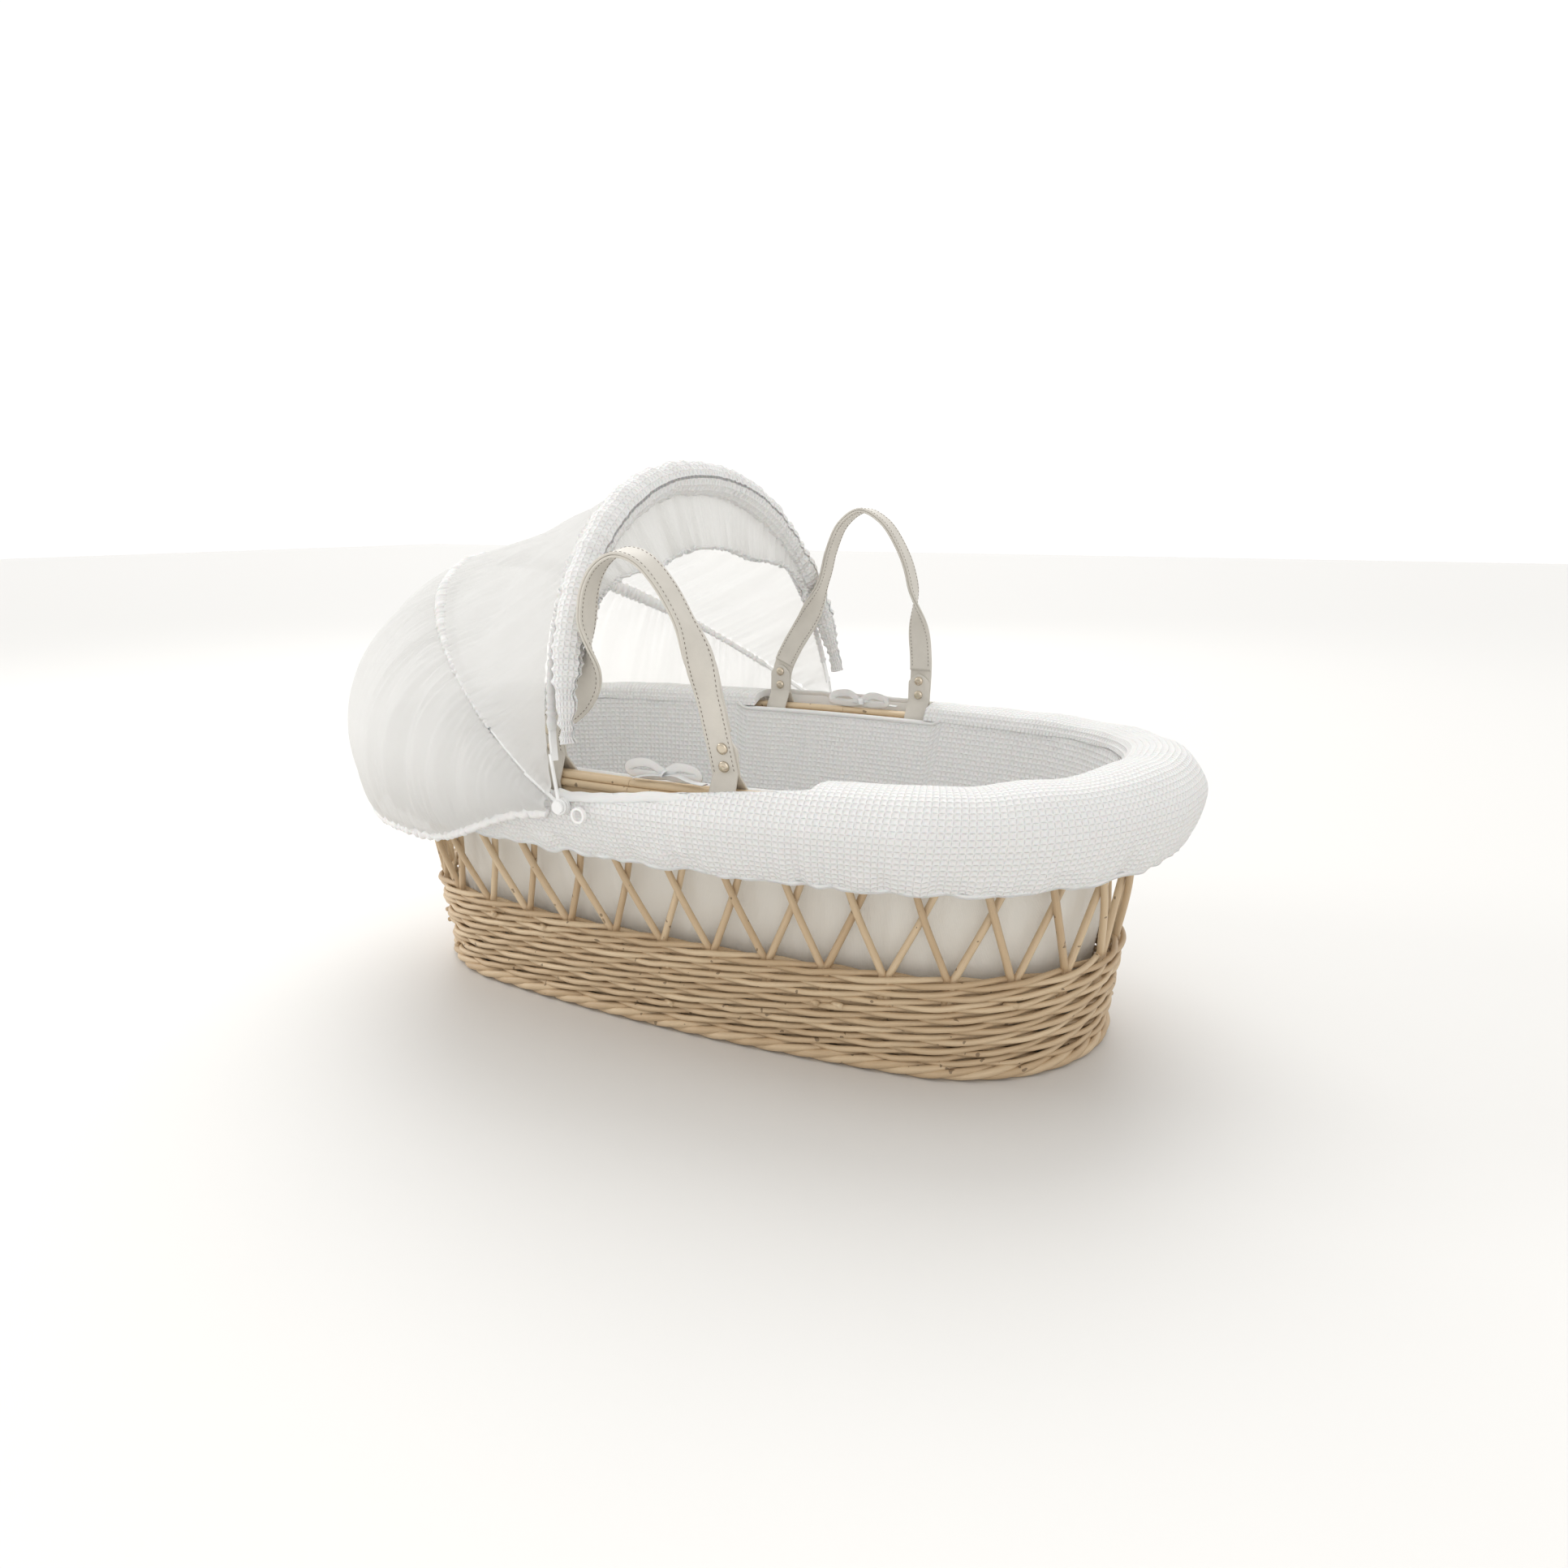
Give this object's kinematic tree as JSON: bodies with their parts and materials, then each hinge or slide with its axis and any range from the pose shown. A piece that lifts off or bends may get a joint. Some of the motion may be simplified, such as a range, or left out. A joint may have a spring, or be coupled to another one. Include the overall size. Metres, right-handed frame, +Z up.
{
  "type": "baby cradle",
  "caption": "Oval wicker baby basket with a padded white liner and mattress, two leather carrying handles that fold down, and a folding fabric hood over the head end.",
  "frame": {"origin": "centre of the oval foot border, on the floor", "axes": "+X towards the foot end, -X towards the head end under the hood, -Y the side of the near handle, +Z up"},
  "size_m": [0.8975, 0.5552, 0.5276],
  "materials": {
    "willow": "satin peeled willow",
    "white_cotton": "plain woven cotton",
    "waffle_cotton": "waffle weave cotton, padded",
    "foam": "foam core",
    "leather": "off-white smooth leather",
    "nickel": "champagne nickel",
    "white_plastic": "white moulded plastic"
  },
  "bodies": {
    "basket": {"foot_border": "willow", "base_long_sticks": "willow", "base_cross_sticks": "willow", "stakes_forward": "willow", "stakes_backward": "willow", "weave_outer_rods": "willow", "weave_inner_rods": "willow", "rim_core_rod": "willow", "rim_bundle_rods": "willow", "liner_bag": "white_cotton", "liner_wall_pad": "waffle_cotton", "liner_roll": "waffle_cotton", "skirt_elastic": "white_cotton", "slot_binding_near": "white_cotton", "slot_binding_far": "white_cotton", "liner_tie_near": "white_cotton", "liner_tie_far": "white_cotton", "mattress_core": "foam", "mattress_sheet": "white_cotton", "hood_pivot_pins": "white_plastic", "hood_tie_loops": "white_cotton", "hood_canopy_rear": "white_cotton", "hood_hem": "white_cotton"},
    "near_handle": {"handle_near_strap": "leather", "handle_near_lining": "leather", "handle_near_studs": "nickel"},
    "far_handle": {"handle_far_strap": "leather", "handle_far_lining": "leather", "handle_far_studs": "nickel"},
    "middle_hoop": {"hood_mid_hoop": "white_plastic", "hood_mid_channel": "white_cotton", "hood_canopy_front": "white_cotton"},
    "front_hoop": {"hood_front_hoop": "white_plastic", "hood_front_channel": "white_cotton", "hood_roll": "waffle_cotton", "hood_facing": "white_cotton"}
  },
  "joints": [
    {"name": "near_handle_fold", "type": "hinge", "parent": "basket", "child": "near_handle", "pos_m": [0, -0.216, 0.249], "axis": [-1, 0, 0], "range_deg": [0, 64]},
    {"name": "far_handle_fold", "type": "hinge", "parent": "basket", "child": "far_handle", "pos_m": [0, 0.216, 0.249], "axis": [1, 0, 0], "range_deg": [0, 58]},
    {"name": "hood_fold", "type": "hinge", "parent": "basket", "child": "middle_hoop", "pos_m": [-0.04, 0, 0.24], "axis": [0, -1, 0], "range_deg": [0, 20], "deforming": ["hood_canopy_rear"]},
    {"name": "front_hoop_fold", "type": "hinge", "parent": "middle_hoop", "child": "front_hoop", "pos_m": [-0.04, 0, 0.24], "axis": [0, -1, 0], "range_deg": [0, 38], "deforming": ["hood_canopy_front"]}
  ],
  "couplings": [
    {"joint": "front_hoop_fold", "follows": "hood_fold", "ratio": 1.9}
  ]
}
